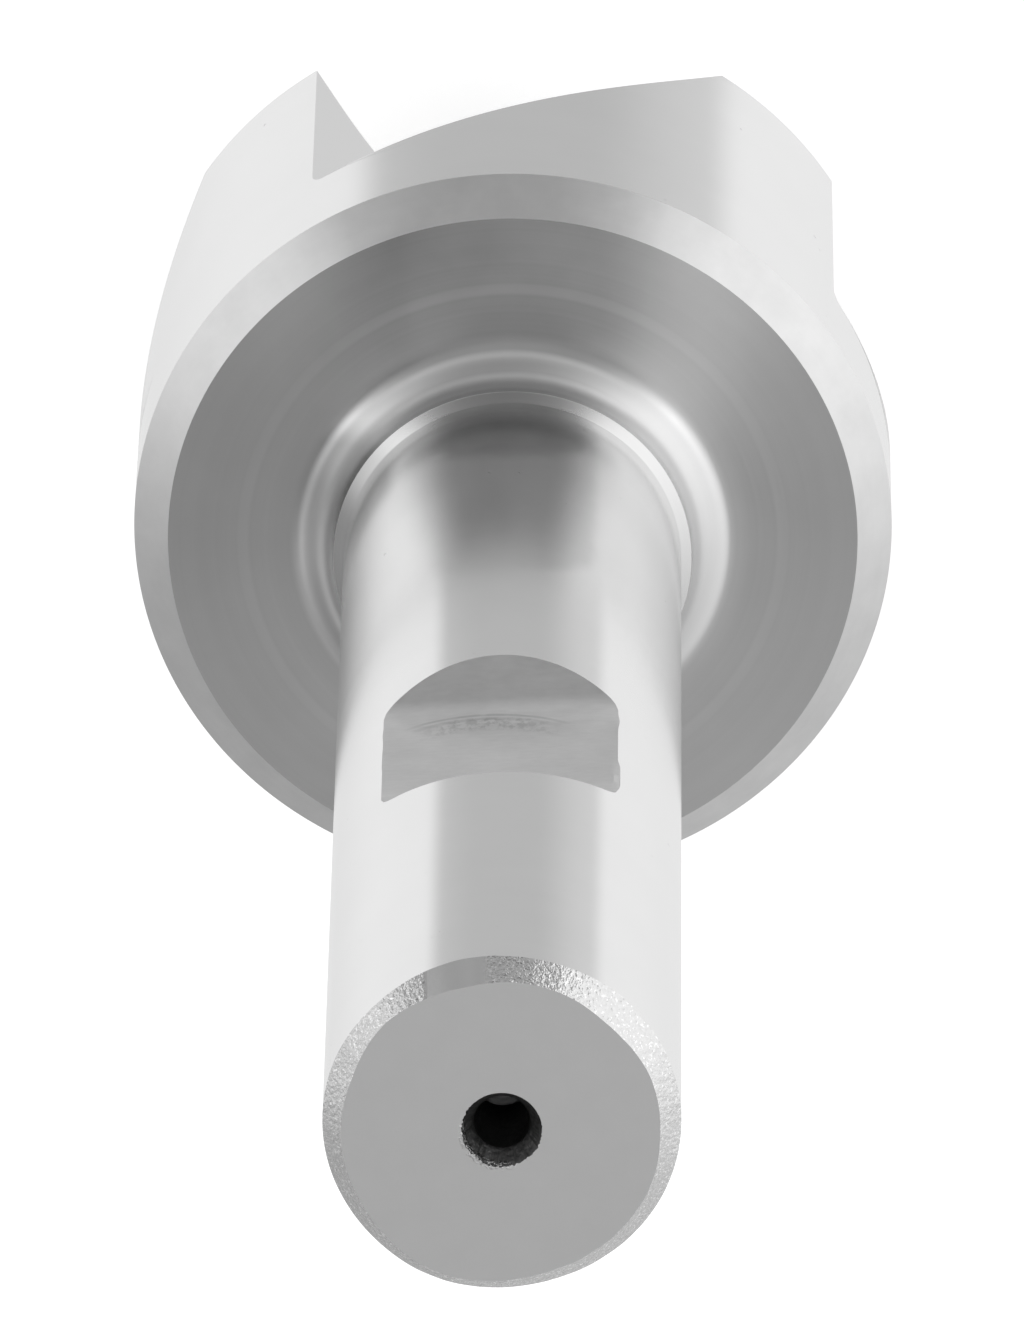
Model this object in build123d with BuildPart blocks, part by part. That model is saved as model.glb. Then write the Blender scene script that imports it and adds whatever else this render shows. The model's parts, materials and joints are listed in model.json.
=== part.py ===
from build123d import *
import os
from math import hypot, radians, sqrt, tan

# Corner rounding end mill with a concave quarter-circle form, four straight flutes and a
# plain shank that carries one clamping flat. The tool is ground from one bar of high speed steel.
# Frame: millimetres, +Z up along the tool's axis, origin at the middle of the cutting tip's face.
# The tool stands on its tip, the shank points up, and the clamping flat faces +Y.

os.makedirs("parts", exist_ok=True)

# Driving dimensions, in millimetres and degrees
overall_length = 82.55
shank_diameter = 12.7
tip_diameter = 9.525
corner_radius = 7.9375
outer_land = 1.5875
tip_land = 1.06
head_length = 26.95
head_ring_width = 5.9
head_back_chamfer = 1.3

# Neck, left a little thicker than the ground shank
neck_diameter = 13.46
neck_length = 2.0
neck_fillet = 1.5

# Teeth and flutes
tooth_count = 4
first_tooth_angle = 29.4
flute_wheel_radius = 60.0
rim_tooth_thickness = 5.9
tip_tooth_thickness = 3.0
flute_root_radius = 0.5
relief_offset = 0.6

# Clamping flat on the shank
flat_depth = 1.65
flat_length = 11.1
flat_centre_from_end = 23.2
flat_wall_slope = 38.0
flat_floor_fillet = 1.0

# Ends of the shank and of the tip, with the centre holes that the tool is held by in its making
shank_chamfer_height = 0.8
shank_chamfer_width = 0.7
shank_centre_diameter = 2.85
shank_centre_pilot = 2.0
tip_centre_diameter = 2.4
tip_centre_pilot = 1.2
centre_pilot_depth = 4.5
centre_cone_angle = 60.0
drill_point_angle = 118.0

# How far the cutting shapes run past the blank, and how far they stop short of the next tooth
overrun = 2.0
sweep_margin = 15.0

# Sizes that follow
shank_radius = shank_diameter / 2
tip_radius = tip_diameter / 2
form_centre_radius = tip_radius + corner_radius
head_radius = form_centre_radius + outer_land
rim_height = tip_land + corner_radius
flute_exit_height = head_length - head_ring_width
flat_floor_height = shank_radius - flat_depth
flat_middle_height = overall_length - flat_centre_from_end


def circle_centre(first, second, radius):
    """Centre of the circle of this radius through two points, on the right of first to second."""
    half_x = (second[0] - first[0]) / 2
    half_y = (second[1] - first[1]) / 2
    half_chord = hypot(half_x, half_y)
    reach = sqrt(radius**2 - half_chord**2) / half_chord
    return first[0] + half_x + half_y * reach, first[1] + half_y - half_x * reach


def centre_hole(mouth_diameter, pilot_diameter):
    """Half section of a centre-drilled hole, mouth at the origin, running along minus Y."""
    mouth = mouth_diameter / 2
    pilot = pilot_diameter / 2
    cone_depth = (mouth - pilot) / tan(radians(centre_cone_angle / 2))
    lip = overrun * tan(radians(centre_cone_angle / 2))
    point_depth = pilot / tan(radians(drill_point_angle / 2))
    Polyline(
        (0, overrun),
        (mouth + lip, overrun),
        (pilot, -cone_depth),
        (pilot, -centre_pilot_depth),
        (0, -centre_pilot_depth - point_depth),
        close=True,
    )


def head_back_edges(part):
    """Round edges of the head's back face, the neck's first and the rim's last."""
    back_face = part.faces().filter_by(GeomType.PLANE).sort_by(Axis.Z)[1]
    return back_face.edges().filter_by(GeomType.CIRCLE).sort_by(SortBy.RADIUS)


# Cutter of one flute: it opens clockwise of the tooth's flat front, and its floor is a
# large grinding-wheel arc that runs out at the head's outside, then turns along the tip
exit_point = (head_radius, flute_exit_height)
rim_point = (rim_tooth_thickness, rim_height)
wheel_x, wheel_z = circle_centre(rim_point, exit_point, flute_wheel_radius)
runout_x = head_radius + overrun
runout_z = wheel_z + sqrt(flute_wheel_radius**2 - (wheel_x - runout_x) ** 2)

with BuildPart() as flute_cutter:
    with BuildSketch(Plane.XZ) as flute_side:
        with BuildLine():
            floor = RadiusArc((runout_x, runout_z), rim_point, -flute_wheel_radius)
            toe = TangentArc(rim_point, (tip_tooth_thickness, -overrun), tangent=floor % 1)
            Polyline(toe @ 1, (runout_x, -overrun), floor @ 0)
        make_face()
    extrude(amount=runout_x)
    floor_edges = flute_cutter.edges().filter_by(GeomType.CIRCLE).group_by(Axis.Y)[-1]
    fillet(floor_edges, radius=flute_root_radius)

# Cutter of one tooth's form: a ring of the concave profile about an axis set back by the
# relief offset, so that the form falls away behind the cutting edge
relief_plane = Plane.XZ.offset(relief_offset)
relief_axis = Axis((0, -relief_offset, 0), (0, 0, 1))
form_sweep = 360 / tooth_count - sweep_margin

with BuildPart() as form_cutter:
    with BuildSketch(relief_plane):
        with BuildLine():
            land = Line((tip_radius, -overrun), (tip_radius, tip_land))
            form = RadiusArc(land @ 1, (form_centre_radius, rim_height), corner_radius)
            Polyline(form @ 1, (runout_x, rim_height), (runout_x, -overrun), land @ 0)
        make_face()
    revolve(axis=relief_axis, revolution_arc=form_sweep)

# Free half of the shank, from the flat's middle to the chamfered and centre-drilled end
with BuildPart() as shank_end:
    with BuildSketch(Plane.XY.offset(flat_middle_height)):
        Circle(shank_radius)
    extrude(amount=flat_centre_from_end)
    end_face = shank_end.faces().sort_by(Axis.Z)[-1]
    chamfer(
        end_face.edges(),
        length=shank_chamfer_width,
        length2=shank_chamfer_height,
        reference=end_face,
    )
    with BuildSketch(Plane(origin=(0, 0, overall_length), x_dir=(1, 0, 0), z_dir=(0, -1, 0))):
        with BuildLine():
            centre_hole(shank_centre_diameter, shank_centre_pilot)
        make_face()
    revolve(axis=Axis.Z, mode=Mode.SUBTRACT)

with BuildPart() as corner_rounding_end_mill:
    # Turned head and neck, with the half of the shank next to them
    with BuildSketch(Plane.XZ):
        with BuildLine():
            Polyline(
                (0, 0),
                (head_radius, 0),
                (head_radius, head_length),
                (neck_diameter / 2, head_length),
                (neck_diameter / 2, head_length + neck_length),
                (shank_radius, head_length + neck_length),
                (shank_radius, flat_middle_height),
                (0, flat_middle_height),
                close=True,
            )
        make_face()
    revolve(axis=Axis.Z)
    chamfer(head_back_edges(corner_rounding_end_mill)[-1], length=head_back_chamfer)
    fillet(head_back_edges(corner_rounding_end_mill)[0], radius=neck_fillet)

    # Form and flutes, one of each for every tooth
    with PolarLocations(0, tooth_count, start_angle=first_tooth_angle):
        add(form_cutter.part, mode=Mode.SUBTRACT)
        add(flute_cutter.part, mode=Mode.SUBTRACT)

    # Centre hole in the tip, which the tool is ground on
    with BuildSketch(Plane(origin=(0, 0, 0), x_dir=(1, 0, 0), z_dir=(0, 1, 0))):
        with BuildLine():
            centre_hole(tip_centre_diameter, tip_centre_pilot)
        make_face()
    revolve(axis=Axis.Z, mode=Mode.SUBTRACT)

    # The free half joins on. The shank's round wall stays two faces that meet at the flat's
    # middle, one on each side of the holder's screw.
    add(shank_end.part, clean=False)

    # Clamping flat, with sloping end walls
    wall_run = tan(radians(flat_wall_slope))
    mouth_half = flat_length / 2 + overrun * wall_run
    floor_half = flat_length / 2 - flat_depth * wall_run
    with BuildSketch(Plane.YZ) as flat_side:
        with BuildLine():
            Polyline(
                (flat_floor_height, flat_middle_height - floor_half),
                (shank_radius + overrun, flat_middle_height - mouth_half),
                (shank_radius + overrun, flat_middle_height + mouth_half),
                (flat_floor_height, flat_middle_height + floor_half),
                close=True,
            )
        make_face()
        fillet(flat_side.vertices().group_by(Axis.X)[0], radius=flat_floor_fillet)
    extrude(amount=shank_radius + overrun, both=True, clean=False, mode=Mode.SUBTRACT)

corner_rounding_end_mill.part.label = "corner_rounding_end_mill"
export_step(corner_rounding_end_mill.part, "parts/corner_rounding_end_mill.step")
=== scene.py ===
import json
from math import ceil, cos, hypot, radians, sin, sqrt, tan

import bmesh
import bpy
import numpy as np
from mathutils import Matrix, Vector


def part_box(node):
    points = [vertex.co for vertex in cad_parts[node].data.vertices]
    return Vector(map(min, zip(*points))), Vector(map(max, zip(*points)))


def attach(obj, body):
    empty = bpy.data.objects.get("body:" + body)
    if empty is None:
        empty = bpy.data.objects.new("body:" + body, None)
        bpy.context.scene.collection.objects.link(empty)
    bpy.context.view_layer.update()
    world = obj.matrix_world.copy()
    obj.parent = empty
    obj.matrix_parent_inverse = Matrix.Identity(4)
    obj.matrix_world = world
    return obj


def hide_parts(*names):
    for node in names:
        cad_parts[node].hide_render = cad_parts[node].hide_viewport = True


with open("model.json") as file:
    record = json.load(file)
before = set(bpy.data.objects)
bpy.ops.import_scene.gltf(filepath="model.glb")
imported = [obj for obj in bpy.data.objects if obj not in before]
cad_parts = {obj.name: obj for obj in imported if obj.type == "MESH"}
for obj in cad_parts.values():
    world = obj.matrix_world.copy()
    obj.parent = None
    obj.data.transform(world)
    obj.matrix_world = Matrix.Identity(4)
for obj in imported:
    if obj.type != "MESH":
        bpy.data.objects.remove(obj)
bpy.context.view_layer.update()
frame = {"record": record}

# The skin is worked out in millimetres and degrees, and put into the mesh in metres.
# +Z runs along the tool's axis from the cutting tip to the shank's end, and +Y out of the flat.
MM = 0.001
NODE = "corner_rounding_end_mill"
mounts = {mount["name"]: mount for mount in frame["record"]["mounts"]}
box_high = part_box(NODE)[1]

# Sizes that the frame gives
OVERALL_LENGTH = box_high.z / MM
HEAD_RADIUS = box_high.x / MM
SHANK_RADIUS = mounts["shank"]["dims"]["r_mm"]
FLAT_FLOOR = mounts["clamping_flat"]["pos_m"][1] / MM
FLAT_MIDDLE = mounts["clamping_flat"]["pos_m"][2] / MM

# Head and neck
TIP_RADIUS = 4.7625
TIP_LAND = 1.06
CORNER_RADIUS = 7.9375
HEAD_LENGTH = 26.95
HEAD_RING_WIDTH = 5.9
HEAD_BACK_CHAMFER = 1.3
NECK_RADIUS = 6.73
NECK_LENGTH = 2.0
NECK_FILLET = 1.5
NECK_BREAK_ANGLE = 30.0

# Teeth and flutes
TOOTH_COUNT = 4
TOOTH_PITCH = 360 / TOOTH_COUNT
FIRST_TOOTH_ANGLE = 29.4
FLUTE_WHEEL_RADIUS = 60.0
RIM_TOOTH_THICKNESS = 5.9
TIP_TOOTH_THICKNESS = 3.0
TIP_TOOTH_DEPTH = 2.0
FLUTE_ROOT_RADIUS = 0.5
RELIEF_OFFSET = 0.6

# Clamping flat
FLAT_HALF_LENGTH = 5.55
FLAT_WALL_SLOPE = 38.0
FLAT_FLOOR_FILLET = 1.0

# How the flat's side edges wander round the shank, in degrees, and the bulge of the first one:
# how far it goes, and where it begins and is full, from the flat's middle
FIRST_EDGE_WANDER = 0.9
LAST_EDGE_WANDER = 0.4
EDGE_BULGE = 1.2
EDGE_BULGE_START = 0.5
EDGE_BULGE_RUN = 2.0

# Ends
SHANK_CHAMFER_WIDTH = 0.66
SHANK_CHAMFER_SLOPE = 0.8 / 0.7
SHANK_CENTRE_MOUTH = 1.425
SHANK_CENTRE_PILOT = 1.0
TIP_CENTRE_MOUTH = 1.2
TIP_CENTRE_PILOT = 0.6
CENTRE_PILOT_DEPTH = 4.5
CENTRE_CONE_HALF = 30.0
DRILL_POINT_HALF = 59.0

# How ragged the hand-ground chamfer is, and the hole's rim: its most chipped side, and how far
# its coarse and its fine chips go in and out there
CHAMFER_RAGGEDNESS = 0.01
CHIPPED_ANGLE = 240
COARSE_CHIPS = 0.03
FINE_CHIPS = 0.035

# Fineness of the skin: degrees from one column round the axis to the next, and rows and columns
RING_STEP = 1.0
HEEL_ROWS = 40
FORM_ROWS = 28
FLOOR_OUTER_COLUMNS = 5
FLOOR_INNER_COLUMNS = 13
ROOT_COLUMNS = 9
RAKE_INNER_COLUMNS = 9
RAKE_OUTER_COLUMNS = 5
RIM_ROWS = 5
TIP_INNER_ROWS = 7
TIP_OUTER_ROWS = 9
BACK_ROWS = 6
FILLET_ROWS = 13
FLAT_ROWS = 43
FLAT_WALL_ROWS = 6
FLAT_FILLET_ROWS = 8
WALL_ROWS = 14
CHAMFER_ROWS = 5
END_FACE_ROWS = 8
CONE_ROWS = 7

# Points nearer than this are one, and edges that turn by more than this stay sharp
WELD = 0.0002
SHARP_ANGLE = 20

# Sizes that follow
NECK_END = HEAD_LENGTH + NECK_LENGTH
FORM_CENTRE = TIP_RADIUS + CORNER_RADIUS
RIM_HEIGHT = TIP_LAND + CORNER_RADIUS
FLUTE_EXIT = HEAD_LENGTH - HEAD_RING_WIDTH
JOIN_COLUMN = FLOOR_OUTER_COLUMNS - 1
ROOT_COLUMN = JOIN_COLUMN + FLOOR_INNER_COLUMNS + ROOT_COLUMNS - 2


def polar(radius, angle, height):
    """Points at a radius from the axis, an angle about it in degrees, and a height, as one array."""
    radius, angle, height = np.broadcast_arrays(radius, np.radians(angle), height)
    return np.stack([radius * np.cos(angle), radius * np.sin(angle), height], axis=-1)


def turned(points, angle):
    """The points turned about the axis: x' = x cos a - y sin a and y' = x sin a + y cos a."""
    c, s = cos(radians(angle)), sin(radians(angle))
    turn = np.array([[c, s, 0], [-s, c, 0], [0, 0, 1]])
    return points @ turn


def between(first, last, count):
    """Evenly spaced grids from first to last along a new second axis, both ends included."""
    share = np.linspace(0, 1, count).reshape((1, -1) + (1,) * (first.ndim - 1))
    return first[:, None] + (last - first)[:, None] * share


def by_way_of(first, middle, last, first_count, last_count):
    """Evenly spaced grids from first to middle, and from there on to last."""
    before = between(first, middle, first_count)
    after = between(middle, last, last_count)
    return np.concatenate([before, after[:, 1:]], axis=1)


def arc(centre, radius, first_angle, last_angle, count):
    """Points of a circle in a half section: centre plus radius times cosine and sine."""
    angle = np.radians(np.linspace(first_angle, last_angle, count))
    return np.stack([centre[0] + radius * np.cos(angle), centre[1] + radius * np.sin(angle)], axis=-1)


class Skin:
    """Grids of points that together close one skin, each face with the name of its finish."""

    def __init__(self):
        self.points = []
        self.quads = []
        self.finishes = []
        self.names = []
        self.count = 0

    def add(self, grid, finish, closed=False):
        """Adds rows and columns of points as quads; closed joins the last column to the first."""
        rows, columns = grid.shape[:2]
        index = self.count + np.arange(rows * columns).reshape(rows, columns)
        left = index if closed else index[:, :-1]
        right = np.roll(index, -1, axis=1) if closed else index[:, 1:]
        quads = np.stack([left[:-1], right[:-1], right[1:], left[1:]], axis=-1).reshape(-1, 4)
        if finish not in self.names:
            self.names.append(finish)
        self.points.append(grid.reshape(-1, 3))
        self.quads.append(quads)
        self.finishes.append(np.full(len(quads), self.names.index(finish)))
        self.count += rows * columns

    def piece(self, name, materials):
        """Makes the object: the grids' shared edges are welded and the faces turned outwards."""
        points = (np.concatenate(self.points) * MM).astype(np.float32)
        quads = np.concatenate(self.quads).astype(np.int32)
        finishes = np.concatenate(self.finishes).astype(np.int32)
        mesh = bpy.data.meshes.new(name)
        mesh.vertices.add(len(points))
        mesh.vertices.foreach_set("co", points.ravel())
        mesh.loops.add(quads.size)
        mesh.loops.foreach_set("vertex_index", quads.ravel())
        mesh.polygons.add(len(quads))
        mesh.polygons.foreach_set("loop_start", np.arange(0, quads.size, 4, dtype=np.int32))
        mesh.polygons.foreach_set("material_index", finishes)
        mesh.update(calc_edges=True)
        shell = bmesh.new()
        shell.from_mesh(mesh)
        bmesh.ops.remove_doubles(shell, verts=shell.verts, dist=WELD * MM)
        bmesh.ops.dissolve_degenerate(shell, edges=shell.edges, dist=WELD * MM)
        bmesh.ops.recalc_face_normals(shell, faces=shell.faces)
        shell.to_mesh(mesh)
        shell.free()
        mesh.shade_smooth()
        mesh.set_sharp_from_angle(angle=radians(SHARP_ANGLE))
        for finish in self.names:
            mesh.materials.append(materials[finish])
        made = bpy.data.objects.new(name, mesh)
        bpy.context.scene.collection.objects.link(made)
        return made


# Flute floor: two tangent circles in the tooth's side view, a large one left by the grinding
# wheel above the rim and a smaller one along the form below it
def wheel_circle():
    """Centre of the wheel's circle, through the rim and the flute's exit at the outside."""
    step_x = (HEAD_RADIUS - RIM_TOOTH_THICKNESS) / 2
    step_z = (FLUTE_EXIT - RIM_HEIGHT) / 2
    half_chord = hypot(step_x, step_z)
    reach = sqrt(FLUTE_WHEEL_RADIUS**2 - half_chord**2) / half_chord
    return RIM_TOOTH_THICKNESS + step_x + step_z * reach, RIM_HEIGHT + step_z - step_x * reach


WHEEL_X, WHEEL_Z = wheel_circle()


def toe_circle():
    """Centre and radius of the circle that leaves the rim along the wheel's circle and meets the
    tip: the centre is on the same normal, at chord squared over twice the chord along the normal."""
    normal_x = (WHEEL_X - RIM_TOOTH_THICKNESS) / FLUTE_WHEEL_RADIUS
    normal_z = (WHEEL_Z - RIM_HEIGHT) / FLUTE_WHEEL_RADIUS
    chord_x = TIP_TOOTH_THICKNESS - RIM_TOOTH_THICKNESS
    chord_z = -TIP_TOOTH_DEPTH - RIM_HEIGHT
    radius = (chord_x**2 + chord_z**2) / (2 * (chord_x * normal_x + chord_z * normal_z))
    return RIM_TOOTH_THICKNESS + normal_x * radius, RIM_HEIGHT + normal_z * radius, radius


TOE_X, TOE_Z, TOE_RADIUS = toe_circle()


def floor_distance(height):
    """Distance of the flute floor from the axis plane, and its slope along the height."""
    upper = height >= RIM_HEIGHT
    centre_x = np.where(upper, WHEEL_X, TOE_X)
    centre_z = np.where(upper, WHEEL_Z, TOE_Z)
    radius = np.where(upper, FLUTE_WHEEL_RADIUS, TOE_RADIUS)
    drop = np.sqrt(radius**2 - (height - centre_z) ** 2)
    return centre_x - drop, (height - centre_z) / drop


def root_end(distance, root_depth):
    """Angle at which the root's quarter turn leaves the head: where its point, root radius times
    (1 - cosine) across and distance + depth times (1 - sine) out, is one head radius from the
    axis. It is found by halving the quarter turn, and is 0 where the whole turn is inside."""
    low = np.zeros_like(distance)
    high = np.full_like(distance, np.pi / 2)
    for _ in range(40):
        middle = (low + high) / 2
        across = FLUTE_ROOT_RADIUS * (1 - np.cos(middle))
        out = distance + root_depth * (1 - np.sin(middle))
        outside = across**2 + out**2 > HEAD_RADIUS**2
        low = np.where(outside, middle, low)
        high = np.where(outside, high, middle)
    # At the exit the flute has run out, and its root with it
    high = np.where(np.hypot(distance, FLUTE_ROOT_RADIUS) > HEAD_RADIUS - 1e-6, np.pi / 2, high)
    return np.where(distance + root_depth <= HEAD_RADIUS, 0.0, high)


def flute_wall(height, outer, edge, outer_share, edge_share):
    """One flute's floor, root and rake face as rows at the given heights, in the frame of the
    tooth whose heel the floor is: x along that tooth's rake face, y behind it. The floor is the
    plane y = floor distance, from x = outer in to the root, and the rake face is the plane x = 0,
    out to y = edge. The two shares place the columns that the form's edge comes in on."""
    distance, slope = floor_distance(height)
    root_depth = FLUTE_ROOT_RADIUS * np.sqrt(1 + slope**2)
    last = root_end(distance, root_depth)
    edge = np.where(last > 0, distance + root_depth * (1 - np.sin(last)), edge)
    across = FLUTE_ROOT_RADIUS * (1 - np.cos(last))
    inner = np.full_like(outer, FLUTE_ROOT_RADIUS)
    join = inner + (outer - inner) * outer_share
    floor_x = by_way_of(outer, join, inner, FLOOR_OUTER_COLUMNS, FLOOR_INNER_COLUMNS)
    floor_y = np.repeat(distance[:, None], floor_x.shape[1], axis=1)
    turn = between(np.full_like(last, np.pi / 2), last, ROOT_COLUMNS)[:, 1:]
    root_x = FLUTE_ROOT_RADIUS * (1 - np.cos(turn))
    root_y = distance[:, None] + root_depth[:, None] * (1 - np.sin(turn))
    rake_start = root_y[:, -1]
    rake_join = rake_start + (edge - rake_start) * edge_share
    rake_y = by_way_of(rake_start, rake_join, edge, RAKE_INNER_COLUMNS, RAKE_OUTER_COLUMNS)[:, 1:]
    rake_x = np.repeat(across[:, None], rake_y.shape[1], axis=1)
    x = np.concatenate([floor_x, root_x, rake_x], axis=1)
    y = np.concatenate([floor_y, root_y, rake_y], axis=1)
    return np.stack([x, y, np.repeat(height[:, None], x.shape[1], axis=1)], axis=-1)


def hole_depths(mouth, pilot):
    """Depths at which a centre-drilled hole's cone ends and its drill point ends: a radius over the
    tangent of the half angle each, the second below the pilot."""
    cone_end = (mouth - pilot) / tan(radians(CENTRE_CONE_HALF))
    point_end = CENTRE_PILOT_DEPTH + pilot / tan(radians(DRILL_POINT_HALF))
    return cone_end, point_end


def head_skin(skin, sectors):
    """The head below its back ring, one tooth and one flute for each sector of the ring. Returns
    the height at which the flutes have all run out."""
    rim_angle = np.arcsin(RIM_TOOTH_THICKNESS / HEAD_RADIUS)
    exit_angle = np.arccos(FLUTE_ROOT_RADIUS / HEAD_RADIUS)
    heel_angle = np.linspace(rim_angle, exit_angle, HEEL_ROWS)
    heel_distance = HEAD_RADIUS * np.sin(heel_angle)
    land_height = WHEEL_Z + np.sqrt(FLUTE_WHEEL_RADIUS**2 - (WHEEL_X - heel_distance) ** 2)

    # The form's half section: the quarter circle from the rim in, then the tip's short land
    quarter = arc((FORM_CENTRE, TIP_LAND), CORNER_RADIUS, 90, 180, FORM_ROWS)
    form_radius = np.append(quarter[:, 0], np.full(3, TIP_RADIUS))
    form_height = np.append(quarter[:, 1], TIP_LAND * np.array([2, 1, 0]) / 3)
    form_distance, _ = floor_distance(form_height)
    form_outer = np.sqrt(form_radius**2 - (form_distance + RELIEF_OFFSET) ** 2)
    form_edge = np.sqrt(form_radius**2 - RELIEF_OFFSET**2)

    # Where the form's edges come in on the flute wall's top part, as shares of its width
    rim_outer = sqrt(HEAD_RADIUS**2 - RIM_TOOTH_THICKNESS**2)
    rim_slope = floor_distance(np.array(RIM_HEIGHT))[1]
    rim_root = RIM_TOOTH_THICKNESS + FLUTE_ROOT_RADIUS * sqrt(1 + rim_slope**2)
    outer_share = (form_outer[0] - FLUTE_ROOT_RADIUS) / (rim_outer - FLUTE_ROOT_RADIUS)
    edge_share = (form_edge[0] - rim_root) / (HEAD_RADIUS - rim_root)
    heel_outer = HEAD_RADIUS * np.cos(heel_angle)
    heel_edge = np.full(HEEL_ROWS, HEAD_RADIUS)
    upper = flute_wall(land_height, heel_outer, heel_edge, outer_share, edge_share)
    lower = flute_wall(form_height, form_outer, form_edge, 1.0, 1.0)
    cone_end, point_end = hole_depths(TIP_CENTRE_MOUTH, TIP_CENTRE_PILOT)
    bore_radius = np.array([TIP_CENTRE_MOUTH, TIP_CENTRE_PILOT, TIP_CENTRE_PILOT, 0.0])
    bore_height = np.array([0.0, cone_end, CENTRE_PILOT_DEPTH, point_end])

    rake_angle = np.degrees(np.arctan2(upper[:, -1, 1], upper[:, -1, 0])) - TOOTH_PITCH
    tooth_start = np.arcsin(RELIEF_OFFSET / form_radius)
    tooth_end = np.arcsin((form_distance + RELIEF_OFFSET) / form_radius)
    for number, ring in enumerate(sectors):
        share = (ring - ring[0]) / TOOTH_PITCH
        land_angle = rake_angle[:, None] + (np.degrees(heel_angle) - rake_angle)[:, None] * share
        land = polar(HEAD_RADIUS, land_angle, land_height[:, None])

        # The form is a ring about an axis set back by the relief offset
        form_angle = tooth_start[:, None] + (tooth_end - tooth_start)[:, None] * share
        form = polar(form_radius[:, None], np.degrees(form_angle), form_height[:, None])
        form[..., 1] -= RELIEF_OFFSET
        rim = np.swapaxes(between(form[0], land[0], RIM_ROWS), 0, 1)

        # Tip face: from the centre hole to a line that meets the roots, and on to the form
        tip_edge = np.concatenate([form[-1], lower[-1, JOIN_COLUMN + 1 : ROOT_COLUMN + 1]])
        tip_angle = np.degrees(np.arctan2(tip_edge[:, 1], tip_edge[:, 0]))
        tip_shrink = lower[-1, ROOT_COLUMN, 1] / tip_edge[0, 0]
        shrink = tip_shrink + (1 - tip_shrink) * tip_angle / TOOTH_PITCH
        tip_middle = tip_edge * np.stack([shrink, shrink, np.ones_like(shrink)], axis=-1)
        hole = polar(TIP_CENTRE_MOUTH, tip_angle, 0.0)
        tip_inner = np.swapaxes(between(hole, tip_middle, TIP_INNER_ROWS), 0, 1)
        tip_outer = np.swapaxes(between(tip_middle, tip_edge, TIP_OUTER_ROWS), 0, 1)
        bore = polar(bore_radius[:, None], tip_angle, bore_height[:, None])

        angle = FIRST_TOOTH_ANGLE + TOOTH_PITCH * number
        for grid, finish in (
            (land, "ground_land"),
            (rim, "ground_rim"),
            (form, "ground_form"),
            (upper, "ground_flute"),
            (lower, "ground_flute"),
            (tip_inner, "ground_tip"),
            (tip_outer, "ground_tip"),
            (bore, "centre_hole"),
        ):
            skin.add(turned(grid, angle), finish)
    return land_height[-1]


def ring_sectors():
    """Angles of the ring's columns, one array for each tooth, with a column on each side of the
    clamping flat. A sector starts where the tooth's flute has run out."""
    exit_angle = np.degrees(np.arccos(FLUTE_ROOT_RADIUS / HEAD_RADIUS)) - TOOTH_PITCH
    flat_edges = 90 + np.array([-1, 1]) * flat_half_angle()
    sectors = []
    for number in range(TOOTH_COUNT):
        start = FIRST_TOOTH_ANGLE + exit_angle + TOOTH_PITCH * number
        end = start + TOOTH_PITCH
        knots = [start, *(edge for edge in flat_edges if start < edge < end), end]
        pieces = [
            np.linspace(first, last, ceil((last - first) / RING_STEP), endpoint=False)
            for first, last in zip(knots, knots[1:])
        ]
        sectors.append(np.concatenate([*pieces, [end]]))
    return sectors


# Clamping flat: its half section along the axis is a floor, a fillet and a sloping wall
FLAT_WALL_RUN = tan(radians(FLAT_WALL_SLOPE))
FLAT_WALL_TURN = 90 - FLAT_WALL_SLOPE
FLAT_FLOOR_END = (
    FLAT_HALF_LENGTH
    - (SHANK_RADIUS - FLAT_FLOOR) * FLAT_WALL_RUN
    - FLAT_FLOOR_FILLET * tan(radians(FLAT_WALL_TURN / 2))
)
FLAT_FILLET_END = FLAT_FLOOR_END + FLAT_FLOOR_FILLET * sin(radians(FLAT_WALL_TURN))
FLAT_FILLET_TOP = FLAT_FLOOR + FLAT_FLOOR_FILLET * (1 - cos(radians(FLAT_WALL_TURN)))


def flat_half_angle():
    """Half the angle that the flat's floor takes out of the shank, as seen along the axis."""
    return np.degrees(np.arccos(FLAT_FLOOR / SHANK_RADIUS))


def flat_height(offset):
    """Distance of the flat's surface from the axis plane at an offset from the flat's middle."""
    fillet = FLAT_FLOOR + FLAT_FLOOR_FILLET - np.sqrt(
        np.maximum(FLAT_FLOOR_FILLET**2 - np.clip(offset - FLAT_FLOOR_END, 0, FLAT_FLOOR_FILLET) ** 2, 0)
    )
    wall = FLAT_FILLET_TOP + (offset - FLAT_FILLET_END) / FLAT_WALL_RUN
    return np.where(offset > FLAT_FILLET_END, wall, fillet)


def flat_reach(angle):
    """How far the flat reaches from its middle along each line of the shank: the offset at which
    its surface is as high as the shank's wall."""
    wall = SHANK_RADIUS * np.sin(np.radians(angle))
    lift = np.clip(FLAT_FLOOR_FILLET - (wall - FLAT_FLOOR), 0, FLAT_FLOOR_FILLET)
    fillet = FLAT_FLOOR_END + np.sqrt(FLAT_FLOOR_FILLET**2 - lift**2)
    slope = FLAT_FILLET_END + (wall - FLAT_FILLET_TOP) * FLAT_WALL_RUN
    return np.where(wall > FLAT_FILLET_TOP, slope, np.where(wall > FLAT_FLOOR, fillet, FLAT_FLOOR_END))


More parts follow.
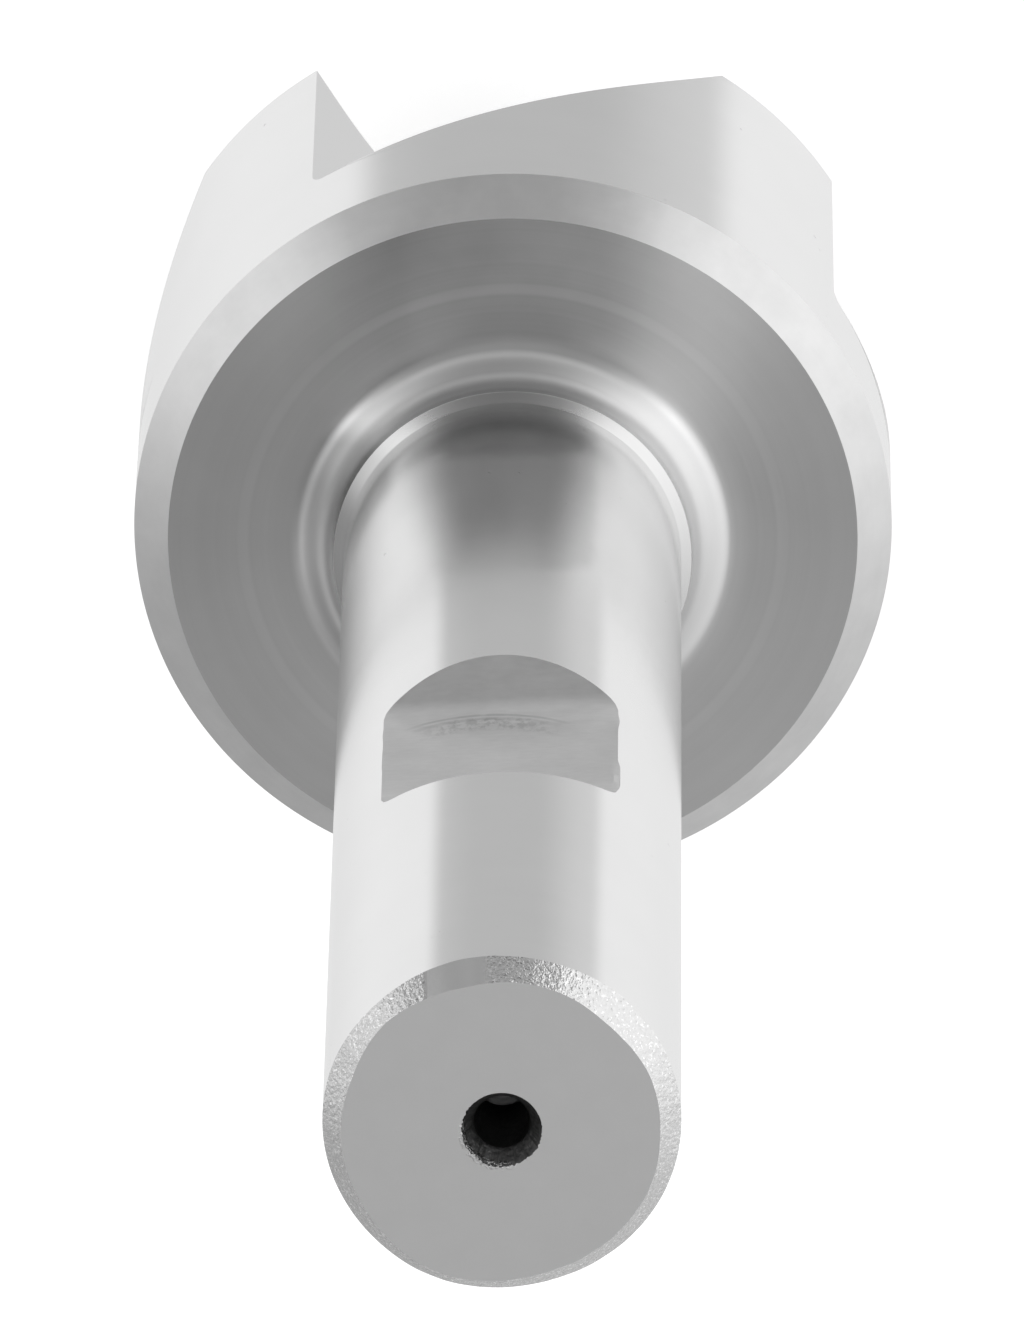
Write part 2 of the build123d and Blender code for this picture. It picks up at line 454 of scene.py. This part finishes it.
def ragged(angle, seed, first, last):
    """A ragged line round a circle, between about -1 and 1: a sum of sines of the angle with whole
    numbers of waves from first to last, each at a phase and of a weight drawn from the seed."""
    draw = np.random.default_rng(seed)
    waves = np.arange(first, last + 1)
    phase = draw.uniform(0, 2 * np.pi, len(waves))
    weight = draw.uniform(0.4, 1.0, len(waves)) / sqrt(len(waves))
    return (weight * np.sin(np.radians(angle)[:, None] * waves + phase)).sum(axis=1)


# Strokes of the grinder round the shank's end: angle, half width and how much more it took off
GRINDER_STROKES = (
    (4, 14, 0.06),
    (42, 20, 0.17),
    (100, 12, 0.07),
    (134, 14, -0.09),
    (157, 12, 0.06),
    (246, 26, -0.26),
    (350, 12, 0.05),
)


def chamfer_width(angle):
    """Width of the hand-ground chamfer: a mean, a bell curve for each stroke and a ragged line."""
    width = np.full_like(angle, SHANK_CHAMFER_WIDTH)
    for middle, half, extra in GRINDER_STROKES:
        away = (angle - middle + 180) % 360 - 180
        width = width + extra * np.exp(-((away / half) ** 2))
    return width + CHAMFER_RAGGEDNESS * ragged(angle, 3, 9, 40)


def side_wander(height, seed):
    """How the flat's side edge wanders along the shank's wall, between about -1 and 1: a sum of
    sines of the height, weaker the shorter their waves, at phases drawn from the seed."""
    draw = np.random.default_rng(seed)
    waves = np.array([0.9, 1.7, 2.9, 4.3])
    phase = draw.uniform(0, 2 * np.pi, len(waves))
    return (np.sin(height[:, None] * waves + phase) / (1 + waves)).sum(axis=1)


def revolve(skin, ring, section, finish):
    """Adds a half section turned round the axis, one row for each of its points."""
    section = np.asarray(section)
    skin.add(polar(section[:, :1], ring, section[:, 1:]), finish, closed=True)


def head_back_skin(skin, ring, flute_end):
    """From the flutes' end to the shank: the head's outside, its chamfer, its back face, and the
    neck with its fillet and its broken end."""
    chamfer_start = HEAD_LENGTH - HEAD_BACK_CHAMFER
    chamfer_inner = HEAD_RADIUS - HEAD_BACK_CHAMFER
    fillet_centre = (NECK_RADIUS + NECK_FILLET, HEAD_LENGTH + NECK_FILLET)
    outside = (flute_end, (flute_end + chamfer_start) / 2, chamfer_start)
    revolve(skin, ring, [(HEAD_RADIUS, height) for height in outside], "ground_land")
    revolve(skin, ring, [(HEAD_RADIUS, chamfer_start), (chamfer_inner, HEAD_LENGTH)], "turned_chamfer")
    back = np.linspace(chamfer_inner, fillet_centre[0], BACK_ROWS)
    revolve(skin, ring, np.stack([back, np.full_like(back, HEAD_LENGTH)], axis=-1), "turned_back")
    revolve(skin, ring, arc(fillet_centre, NECK_FILLET, 270, 180, FILLET_ROWS), "turned_back")
    break_start = NECK_END - (NECK_RADIUS - SHANK_RADIUS) * tan(radians(NECK_BREAK_ANGLE))
    neck = [(NECK_RADIUS, fillet_centre[1]), (NECK_RADIUS, break_start), (SHANK_RADIUS, NECK_END)]
    revolve(skin, ring, neck, "turned_back")


def flat_grid(ring, reach, first, last):
    """The flat and the wall beside it, in rows across the shank. A row's offset from the flat's
    middle stops at the flat's reach, so the rows close up along its curved ends. A point lies on
    the flat's surface, or on the wall where that is nearer to the axis. The columns first and last,
    the flat's side edges, are shifted round the shank by their wander, and the first also by a
    bulge that grows as the square of the offset."""
    wall_offset = np.linspace(FLAT_HALF_LENGTH, FLAT_FILLET_END, FLAT_WALL_ROWS)
    fillet_turn = np.radians(np.linspace(FLAT_WALL_TURN, 0, FLAT_FILLET_ROWS))
    fillet_offset = FLAT_FLOOR_END + FLAT_FLOOR_FILLET * np.sin(fillet_turn)
    end_offset = np.concatenate([wall_offset, fillet_offset[1:]])
    floor_offset = np.linspace(-FLAT_FLOOR_END, FLAT_FLOOR_END, FLAT_ROWS)
    offset = np.concatenate([-end_offset, floor_offset[1:-1], end_offset[::-1]])
    clipped = np.clip(offset[:, None], -reach, reach)
    angle = np.tile(ring, (len(offset), 1))
    fade = np.where(np.abs(offset) < FLAT_FLOOR_END, 1 - (offset / FLAT_FLOOR_END) ** 8, 0)
    bulge = EDGE_BULGE * np.clip((offset - EDGE_BULGE_START) / EDGE_BULGE_RUN, 0, 1) ** 2
    angle[:, first] -= fade * (FIRST_EDGE_WANDER * np.maximum(side_wander(offset, 5), 0) + bulge)
    angle[:, last] += LAST_EDGE_WANDER * fade * np.maximum(side_wander(offset, 8), 0)
    sine = np.maximum(np.sin(np.radians(angle)), 0.1)
    taken = (ring > 90 - flat_half_angle()) & (ring < 90 + flat_half_angle())
    surface = np.minimum(flat_height(np.abs(clipped)) / sine, SHANK_RADIUS)
    return polar(np.where(taken, surface, SHANK_RADIUS), angle, FLAT_MIDDLE + clipped)


def shank_wall(skin, ring, chamfer_start):
    """The shank's ground wall from the neck to the end's chamfer, with the flat in it."""
    reach = flat_reach(ring)
    first = int(np.argmin(np.abs(ring - (90 - flat_half_angle()))))
    last = int(np.argmin(np.abs(ring - (90 + flat_half_angle()))))
    flat = flat_grid(ring, reach, first, last)
    neck_end = np.full_like(ring, NECK_END)
    lower = np.swapaxes(between(neck_end, FLAT_MIDDLE - reach, WALL_ROWS), 0, 1)
    upper = np.swapaxes(between(FLAT_MIDDLE + reach, chamfer_start, WALL_ROWS), 0, 1)
    skin.add(polar(SHANK_RADIUS, ring, lower), "ground_shank", closed=True)
    skin.add(flat[:, first : last + 1], "milled_flat")
    skin.add(np.concatenate([flat[:, last:], flat[:, : first + 1]], axis=1), "ground_shank")
    skin.add(polar(SHANK_RADIUS, ring, upper), "ground_shank", closed=True)


def shank_end(skin, ring, width, chamfer_start):
    """The shank's end: a chamfer of uneven width, the flat face, and the centre hole. The hole's
    rim is chipped by two ragged lines, times half of 1 plus the cosine of the angle from its most
    chipped side."""
    share = np.linspace(0, 1, CHAMFER_ROWS)[:, None]
    height = chamfer_start + share * (OVERALL_LENGTH - chamfer_start)
    chamfer = polar(SHANK_RADIUS - share * width, ring, height)
    skin.add(chamfer, "hand_ground_chamfer", closed=True)

    rim_break = 0.5 + 0.5 * np.cos(np.radians(ring - CHIPPED_ANGLE))
    chipped = COARSE_CHIPS * ragged(ring, 11, 3, 12) + FINE_CHIPS * ragged(ring, 12, 20, 70)
    mouth = SHANK_CENTRE_MOUTH + chipped * rim_break
    inner = SHANK_RADIUS - width
    share = np.linspace(0, 1, END_FACE_ROWS)[:, None]
    skin.add(polar(inner + share * (mouth - inner), ring, OVERALL_LENGTH), "end_face", closed=True)

    cone_end, point_end = hole_depths(SHANK_CENTRE_MOUTH, SHANK_CENTRE_PILOT)
    share = np.linspace(0, 1, CONE_ROWS)[:, None]
    cone_radius = mouth + share * (SHANK_CENTRE_PILOT - mouth)
    skin.add(polar(cone_radius, ring, OVERALL_LENGTH - share * cone_end), "centre_hole", closed=True)
    half_way = (cone_end + CENTRE_PILOT_DEPTH) / 2
    bore_height = OVERALL_LENGTH - np.array([cone_end, half_way, CENTRE_PILOT_DEPTH, point_end])
    bore_radius = SHANK_CENTRE_PILOT * np.array([1, 1, 1, 0])
    revolve(skin, ring, np.stack([bore_radius, bore_height], axis=-1), "centre_hole")


def shank_skin(skin, ring, flute_end):
    """Everything above the flutes, in rows round the axis."""
    width = chamfer_width(ring)
    chamfer_start = OVERALL_LENGTH - width * SHANK_CHAMFER_SLOPE
    head_back_skin(skin, ring, flute_end)
    shank_wall(skin, ring, chamfer_start)
    shank_end(skin, ring, width, chamfer_start)


class Value:
    """A socket in a node tree that takes part in sums: each operator adds one Math node."""

    def __init__(self, nodes, socket):
        self.nodes = nodes
        self.socket = socket

    def maths(self, operation, *others):
        inputs = {number: value for number, value in enumerate((self, *others))}
        return self.nodes.add("ShaderNodeMath", {"operation": operation}, inputs)

    def __add__(self, other):
        return self.maths("ADD", other)

    __radd__ = __add__

    def __mul__(self, other):
        return self.maths("MULTIPLY", other)

    __rmul__ = __mul__

    def __sub__(self, other):
        return self.maths("SUBTRACT", other)

    def __rsub__(self, other):
        return self * -1 + other

    def __pow__(self, other):
        return self.maths("POWER", other)

    def __abs__(self):
        return self.maths("ABSOLUTE")

    def rise(self, low, high):
        """0 below low, 1 above high and a smooth step between them."""
        return self.nodes.add(
            "ShaderNodeMapRange",
            {"interpolation_type": "SMOOTHSTEP"},
            {"Value": self, "From Min": low, "From Max": high},
        )


class Nodes:
    """A node tree that is filled by one method."""

    def __init__(self, owner):
        owner.use_nodes = True
        self.tree = owner.node_tree
        self.tree.nodes.clear()

    def add(self, kind, settings=None, inputs=None, output=0):
        """Adds a node: first its settings, then the values or links of its sockets."""
        node = self.tree.nodes.new(kind)
        for name, value in (settings or {}).items():
            setattr(node, name, value)
        for key, value in (inputs or {}).items():
            if isinstance(value, Value):
                self.tree.links.new(value.socket, node.inputs[key])
            else:
                node.inputs[key].default_value = value
        return Value(self, node.outputs[output]) if node.outputs else node

    def place(self):
        """The point's own coordinates on the tool, in millimetres."""
        here = self.add("ShaderNodeTexCoord", output="Object")
        return self.add("ShaderNodeVectorMath", {"operation": "SCALE"}, {"Vector": here, "Scale": 1 / MM})

    def split(self, vector):
        """The three parts of a vector."""
        parts = self.add("ShaderNodeSeparateXYZ", inputs={"Vector": vector}).socket.node
        return [Value(self, socket) for socket in parts.outputs]

    def grain(self, place, stretch, detail=2.0, roughness=0.5):
        """Noise over the place, with so many grains for each millimetre along each direction."""
        vector = self.add("ShaderNodeVectorMath", {"operation": "MULTIPLY"}, {0: place, 1: stretch})
        inputs = {"Vector": vector, "Scale": 1.0, "Detail": detail, "Roughness": roughness}
        return self.add("ShaderNodeTexNoise", inputs=inputs)

    def grey(self, value):
        """The value as a colour."""
        return self.add("ShaderNodeCombineColor", inputs={"Red": value, "Green": value, "Blue": value})

    def bump(self, height, distance):
        """A surface normal from a height; distance is the height of 1, in millimetres."""
        inputs = {"Height": height, "Distance": distance * MM, "Strength": 1.0}
        return self.add("ShaderNodeBump", inputs=inputs)


# Brightness of clean steel
STEEL_GREY = 0.78


def axis_distance(x, y):
    """Distance from the tool's axis: the root of x squared plus y squared."""
    return (x * x + y * y) ** 0.5


def steel(name, finish, anisotropy=0.0, rotation=0.0):
    """A bare steel material. finish takes the nodes and gives the brightness, the roughness and
    the normal of the surface."""
    material = bpy.data.materials.new(name)
    nodes = Nodes(material)
    brightness, roughness, normal = finish(nodes)
    inputs = {
        "Base Color": nodes.grey(brightness),
        "Metallic": 1.0,
        "Roughness": roughness,
        "Normal": normal,
        "Anisotropic": anisotropy,
        "Anisotropic Rotation": rotation,
    }
    shader = nodes.add("ShaderNodeBsdfPrincipled", inputs=inputs)
    nodes.add("ShaderNodeOutputMaterial", inputs={"Surface": shader})
    return material


def ground_round(nodes):
    """Cylindrical grinding: fine lines round the axis, of uneven depth along it, and a few pits.
    On the flat's side, next to the neck, painted shade darkens the steel where the shank mirrors
    the shaded corner at the neck, and a fainter painted reflection of a darker strip goes on towards
    the flat, stronger at +X. Both have clouded edges, and end at a height that drops by 2.4 mm for
    each mm that the wall falls back from its crown."""
    place = nodes.place()
    x, y, z = nodes.split(place)
    cloud = nodes.grain(place, (0.9, 0.9, 0.9), 2.0)
    level = z + (SHANK_RADIUS - y) * 2.4 + cloud
    front = y.rise(0.0, 1.0) * z.rise(28.0, 28.5)
    # Painted shade: a clouded dark patch where the shank mirrors the shaded corner at the neck.
    painted_shade = front * (1 - (abs(x - 0.35) + cloud).rise(2.8, 3.8)) * (1 - level.rise(34.0, 35.6))
    painted_shade = painted_shade * (0.6 + cloud * 0.8)
    # Painted reflection: a fainter darker strip towards the flat, stronger at +X.
    painted_strip_reflection = front * (1 - (abs(x - 0.4) + cloud * 0.4).rise(2.9, 3.5)) * (1 - level.rise(45.4, 46.8))
    painted_strip_reflection = painted_strip_reflection * (0.03 + 0.09 * x.rise(0.6, 2.4))
    lines = nodes.grain(place, (0.12, 0.12, 7.0), 3.0)
    patches = nodes.grain(place, (0.3, 0.3, 0.3), 2.0)
    pits = nodes.grain(place, (2.6, 2.6, 2.6), 2.0).rise(0.74, 0.8)
    brightness = STEEL_GREY + (patches - 0.5) * 0.04 + (lines - 0.5) * 0.03 - pits * 0.12
    # Here the painted shade and the painted reflection darken the colour.
    brightness = brightness - painted_shade * 0.2 - painted_strip_reflection
    roughness = 0.15 + (lines - 0.5) * 0.06 + pits * 0.15
    return brightness, roughness, nodes.bump(lines - pits * 2.0, 0.0006)


def turned_lines(nodes):
    """Turning: rings round the axis on the head's back face, its fillet and the neck. The face has
    a faint painted highlight ring, painted shade on the flat's side and a fainter painted shade
    towards -X. The fillet is rougher on the flat's side, and painted shade darkens the fillet and
    the neck's broken end there and on the side of -X."""
    place = nodes.place()
    x, y, z = nodes.split(place)
    radius = axis_distance(x, y)
    along = nodes.add("ShaderNodeCombineXYZ", inputs={"X": radius * 5.0, "Y": z * 5.0, "Z": 0.0})
    rings = nodes.grain(along, (1.0, 1.0, 1.0), 3.0)
    patches = nodes.grain(place, (0.25, 0.25, 0.25), 3.0)
    face = radius.rise(7.9, 8.5)
    fillet = 1 - face
    # Painted highlight: a faint brighter ring on the back face.
    painted_highlight_ring = 1 - abs(radius - 10.15).rise(0.05, 0.3)
    # Painted shade on the back face: on the flat's side, and fainter towards -X.
    painted_shade = y.rise(3.0, 8.5) * (1 - abs(x).rise(3.5, 9.0)) * 0.39 + (1 - x.rise(-8.0, 4.0)) * 0.07
    front = fillet * y.rise(4.5, 7.5)
    neck_end = 1 - radius.rise(6.7, 6.75)
    # Painted shade, in rings of differing depth, on the fillet and the neck's end on the flat's side; one
    # narrow ring just outside the neck is painted lighter instead.
    painted_fillet_shade = 0.56 * neck_end + 0.4 * radius.rise(6.9, 7.1) + 0.3 * radius.rise(7.5, 7.8) - 0.2
    # Painted shade on the fillet and the neck's end on the side of -X.
    left = fillet * (1 - x.rise(-6.5, -3.0)) * y.rise(-1.0, 3.0) * (1 - 0.7 * y.rise(4.2, 5.4))
    brightness = STEEL_GREY - (painted_shade + 0.14) * face - front * painted_fillet_shade - left * 0.38
    brightness = brightness + (patches - 0.5) * 0.08 + (rings - 0.5) * 0.04 + painted_highlight_ring * 0.03
    roughness = 0.32 - 0.03 * face + front * 0.16 - neck_end * 0.12 + (rings - 0.5) * 0.06
    return brightness, roughness, nodes.bump(rings, 0.0012)


def chamfer_lines(nodes):
    """The head's chamfer, turned with a fine feed and a little blotched."""
    place = nodes.place()
    lines = nodes.grain(place, (0.15, 0.15, 6.0), 2.0)
    patches = nodes.grain(place, (0.6, 0.6, 0.6), 3.0, 0.6)
    brightness = STEEL_GREY + (lines - 0.5) * 0.03 + (patches - 0.5) * 0.14
    return brightness, 0.42 + (lines - 0.5) * 0.06, nodes.bump(lines + patches * 4.0, 0.002)


def ground_teeth(nodes):
    """Form, rim and tip, ground with lines that run round the form."""
    place = nodes.place()
    lines = nodes.grain(place, (1.5, 1.5, 3.0), 2.0)
    uneven = lines - 0.5
    return STEEL_GREY - 0.04 + uneven * 0.05, 0.24 + uneven * 0.08, nodes.bump(lines, 0.0006)


def wheel_ground(nodes):
    """Flutes: lines that the grinding wheel left along the tool, a little greyer than the rest."""
    place = nodes.place()
    lines = nodes.grain(place, (3.0, 3.0, 0.25), 3.0)
    uneven = lines - 0.5
    return STEEL_GREY - 0.19 + uneven * 0.06, 0.32 + uneven * 0.1, nodes.bump(lines, 0.0008)


def matte_end(nodes):
    """The cut-off end face, evenly matte, with chips along one side of the hole whose brightness is a
    painted glint.
    """
    place = nodes.place()
    x, y, _ = nodes.split(place)
    radius = axis_distance(x, y)
    patches = nodes.grain(place, (0.8, 0.8, 0.8), 3.0)
    fine = nodes.grain(place, (9.0, 9.0, 9.0), 2.0)
    chips_and_glints = nodes.grain(place, (7.0, 7.0, 7.0), 2.0).rise(0.5, 0.56)
    chips_and_glints = chips_and_glints * (1 - radius.rise(1.45, 1.6)) * (0 - x - y).rise(0.8, 1.6)
    # The chips' bump and lower roughness are their own; their brightness is a painted glint.
    brightness = STEEL_GREY - 0.17 + (patches - 0.5) * 0.03 + chips_and_glints * 0.35
    roughness = 0.5 + (fine - 0.5) * 0.06 - chips_and_glints * 0.2
    return brightness, roughness, nodes.bump(fine + chips_and_glints * 20.0, 0.0015)


def hand_ground(nodes):
    """The end's chamfer: coarse grit that leaves bright and dark specks, painted glints, and one smooth
    stroke.
    """
    place = nodes.place()
    x, y, _ = nodes.split(place)
    smooth = x.rise(-2.5, -2.36) * (1 - x.rise(-0.5, 0.0)) * y.rise(0.0, 1.0)
    specks = nodes.grain(place, (6.0, 6.0, 6.0), 2.0, 0.6)
    coarse = nodes.grain(place, (2.0, 2.0, 2.0), 1.0)
    height = (specks + coarse * 0.5) * (1 - smooth * 0.9)
    # Painted glints: sparse bright specks in the colour, left out on the smooth stroke.
    painted_glints = nodes.grain(place, (9.0, 9.0, 9.0), 1.0).rise(0.58, 0.68)
    brightness = STEEL_GREY - 0.04 + ((specks - 0.5) * 0.2 + painted_glints * 0.2) * (1 - smooth)
    roughness = 0.2 + smooth * 0.12 + (coarse - 0.5) * 0.08
    return brightness, roughness, nodes.bump(height, 0.055)


def milled_floor(nodes):
    """The flat: a matte mill finish with fine scratches, rougher in its corners. On the half of the
    floor towards the head the cutter left two broken arcs and a mottled patch inside them."""
    place = nodes.place()
    x, _, z = nodes.split(place)
    across = x + 0.5
    along = z - (FLAT_MIDDLE + 0.65)
    away = axis_distance(across, along)
    near = (1 - abs(across).rise(2.1, 3.2)) * (1 - along.rise(-3.0, -2.2))
    outer_arc = 1 - abs(away - 4.5).rise(0.03, 0.13)
    inner_arc = 1 - abs(away - 4.15).rise(0.04, 0.2)
    broken = nodes.grain(place, (1.1, 1.1, 1.1), 2.0).rise(0.32, 0.55)
    mottle = nodes.grain(place, (3.2, 3.2, 2.2), 3.0, 0.6).rise(0.42, 0.62)
    patch = (1 - abs(across).rise(1.2, 3.0)) * (1 - abs(away - 3.7).rise(0.2, 0.8)) * mottle
    marks = (0.8 * outer_arc + 0.6 * inner_arc) * broken * near + patch * 0.9
    fine = nodes.grain(place, (2.0, 6.0, 6.0), 3.0)
    patches = nodes.grain(place, (0.5, 0.5, 0.5), 2.0)
    corner = 1 - abs(abs(z - FLAT_MIDDLE) - FLAT_FLOOR_END + 0.2).rise(0.3, 0.9)
    brightness = STEEL_GREY + (patches - 0.5) * 0.14 + (fine - 0.5) * 0.1 - marks * 0.18
    roughness = 0.42 + corner * 0.2 + (fine - 0.5) * 0.08
    return brightness, roughness, nodes.bump(fine * 0.4 - marks, 0.008)


def drilled(nodes):
    """Inside of a centre hole: rough steel with painted shade, darker down the bore, and chips
    along one side of the rim whose brightness is a painted glint."""
    place = nodes.place()
    x, y, _ = nodes.split(place)
    radius = axis_distance(x, y)
    rough = nodes.grain(place, (5.0, 5.0, 5.0), 3.0, 0.6)
    mouth = radius.rise(1.0, 1.1)
    chips_and_glints = nodes.grain(place, (7.0, 7.0, 7.0), 2.0).rise(0.46, 0.54)
    chips_and_glints = chips_and_glints * radius.rise(1.28, 1.36) * (0 - x - y).rise(0.7, 1.5)
    # Painted shade: the hole's colour is dark, and darker still down the bore past the mouth; the chips'
    # brightness is a painted glint.
    brightness = 0.12 + mouth * 0.08 + (rough - 0.5) * 0.25 * mouth + chips_and_glints * 0.75
    roughness = 0.4 + (rough - 0.5) * 0.2 - chips_and_glints * 0.15
    return brightness, roughness, nodes.bump(rough + chips_and_glints, 0.03)


def finishes():
    """Each finish of the tool by name."""
    return {
        "ground_shank": steel("ground_shank", ground_round, 0.5, 0.25),
        "ground_land": steel("ground_land", ground_round, 0.5, 0.25),
        "turned_chamfer": steel("turned_chamfer", chamfer_lines, 0.5, 0.25),
        "turned_back": steel("turned_back", turned_lines, 0.4, 0.0),
        "milled_flat": steel("milled_flat", milled_floor),
        "hand_ground_chamfer": steel("hand_ground_chamfer", hand_ground),
        "end_face": steel("end_face", matte_end),
        "centre_hole": steel("centre_hole", drilled),
        "ground_form": steel("ground_form", ground_teeth),
        "ground_flute": steel("ground_flute", wheel_ground),
        "ground_rim": steel("ground_rim", ground_teeth),
        "ground_tip": steel("ground_tip", ground_teeth),
    }


def mirrored_studio(x, y, z):
    """Brightness of the studio that the steel mirrors, in the direction x, y, z. An opening lies
    round +Y, where the camera stands: its edges are smooth steps, which part towards its foot and
    towards the zenith. Just below the zenith it is bright, because from there the head's back face
    lights the shank. The rest is a right, a left and a back wall, each with its own fall of light,
    and near the floor all three are white."""
    square = z * z
    beside = abs(x + 0.07 + z * 0.067 - square * 0.1375) - y + 0.25 + z * 0.02 - square * 0.387
    outside = beside.rise(-0.06, 0.06)
    low = 1 - z.rise(-0.85, -0.45)
    high = z.rise(0.84, 0.91)
    to_right = x.rise(0.0, 0.16)
    to_left = 1 - x.rise(-0.26, -0.1)

    opening = 0.63 - 0.2 * z.rise(-0.9, 0.1) - 0.28 * z.rise(0.38, 0.6)
    opening = opening + 1.75 * (z.rise(0.88, 0.92) - z.rise(0.94, 0.97))
    foot = 0.18 * x.rise(0.15, 0.36) + 0.07 * (1 - x.rise(-0.3, -0.1)) - 0.045
    opening = opening + low * foot

    back = 0.5 - 0.24 * z.rise(0.0, 0.6)
    right = 0.6 + 0.55 * y.rise(-0.95, 0.2) + 0.6 * high * y.rise(-0.3, -0.05)
    left = 0.46 + 0.2 * y.rise(-0.5, -0.1) + 1.6 * high * y.rise(-0.28, -0.08)
    left = left + 0.35 * y.rise(-0.2, 0.1) * (1 - z.rise(-0.3, 0.1))
    left = left + z.rise(0.1, 0.4) * (0.5 * y.rise(-0.05, 0.1) - 0.22 * (1 - y.rise(-0.15, 0.0)))
    walls = back + (right - back) * to_right + (left - back) * to_left
    white = 1 - (0.1 + 0.07 * to_left) * (1 - y.rise(-0.45, 0.05))
    walls = walls + (white - walls) * low
    return opening + (walls - opening) * outside


def studio():
    """White to the camera, the mirrored studio to the steel, and an even light to all the rest."""
    world = bpy.data.worlds.new("studio")
    bpy.context.scene.world = world
    nodes = Nodes(world)
    direction = nodes.add("ShaderNodeTexCoord", output="Generated")
    mirrored = mirrored_studio(*nodes.split(direction))
    rays = nodes.add("ShaderNodeLightPath", output="Is Camera Ray")
    metal = nodes.add("ShaderNodeLightPath", output="Is Glossy Ray")
    glass = nodes.add("ShaderNodeLightPath", output="Is Transmission Ray")
    shown = metal + glass
    strength = rays + (1 - rays) * (shown * mirrored + (1 - shown) * 0.7)
    background = nodes.add("ShaderNodeBackground", inputs={"Color": nodes.grey(strength), "Strength": 1.0})
    nodes.add("ShaderNodeOutputWorld", inputs={"Surface": background})


def floor():
    """A wide white floor that the tool stands on. To the camera it is white, with a soft shadow."""
    half = 3.0
    corners = [(-half, -half, 0), (half, -half, 0), (half, half, 0), (-half, half, 0)]
    mesh = bpy.data.meshes.new("floor")
    mesh.from_pydata(corners, [], [(0, 1, 2, 3)])
    made = bpy.data.objects.new("floor", mesh)
    bpy.context.scene.collection.objects.link(made)
    made.visible_glossy = False
    material = bpy.data.materials.new("white_floor")
    nodes = Nodes(material)
    diffuse = nodes.add("ShaderNodeBsdfDiffuse", inputs={"Color": (0.8, 0.8, 0.8, 1.0)})
    glow = nodes.add("ShaderNodeEmission", inputs={"Color": (1.0, 1.0, 1.0, 1.0), "Strength": 0.5})
    both = nodes.add("ShaderNodeAddShader", inputs={0: diffuse, 1: glow})
    nodes.add("ShaderNodeOutputMaterial", inputs={"Surface": both})
    mesh.materials.append(material)


def lamp(name, place, size, power):
    """A soft square lamp that faces the tool's middle."""
    data = bpy.data.lights.new(name, "AREA")
    data.size = size
    data.energy = power
    made = bpy.data.objects.new(name, data)
    made.location = place
    aim = Vector((0, 0, OVERALL_LENGTH * MM / 2)) - made.location
    made.rotation_euler = aim.to_track_quat("-Z", "Y").to_euler()
    made.visible_glossy = False
    made.visible_camera = False
    bpy.context.scene.collection.objects.link(made)


# Camera: a long lens from above the shank's end, rolled so that the shank's end is at the
# picture's bottom. Azimuth 0 looks along +Y; distances in metres
CAMERA_AZIMUTH = 176.254
CAMERA_ELEVATION = 67.664
CAMERA_ROLL = -178.94
CAMERA_AIM = Vector((0.000103, 0.000610, 0.0413))
CAMERA_DISTANCE = 0.81278
CAMERA_LENS = 589.44


def camera():
    """The camera, with its back along the direction from the tool to it."""
    azimuth, elevation = radians(CAMERA_AZIMUTH), radians(CAMERA_ELEVATION)
    back = Vector((sin(azimuth) * cos(elevation), -cos(azimuth) * cos(elevation), sin(elevation)))
    data = bpy.data.cameras.new("camera")
    data.lens = CAMERA_LENS
    data.sensor_width = 36.0
    data.clip_start = 0.05
    data.clip_end = 20.0
    made = bpy.data.objects.new("camera", data)
    level = (-back).to_track_quat("-Z", "Y").to_matrix()
    made.matrix_world = Matrix.LocRotScale(
        CAMERA_AIM + back * CAMERA_DISTANCE,
        (level @ Matrix.Rotation(radians(CAMERA_ROLL), 3, "Z")).to_quaternion(),
        None,
    )
    bpy.context.scene.collection.objects.link(made)
    bpy.context.scene.camera = made


skin = Skin()
sectors = ring_sectors()
flute_end = head_skin(skin, sectors)
shank_skin(skin, np.concatenate([sector[:-1] for sector in sectors]), flute_end)
tool = skin.piece("corner_rounding_end_mill_skin", finishes())
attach(tool, "root")
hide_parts(NODE)

bpy.context.scene.view_settings.view_transform = "Standard"
studio()
floor()
lamp("key_lamp", (-0.5, 0.3, 0.7), 0.6, 1.5)
lamp("fill_lamp", (0.6, 0.2, 0.6), 0.6, 1.2)
camera()
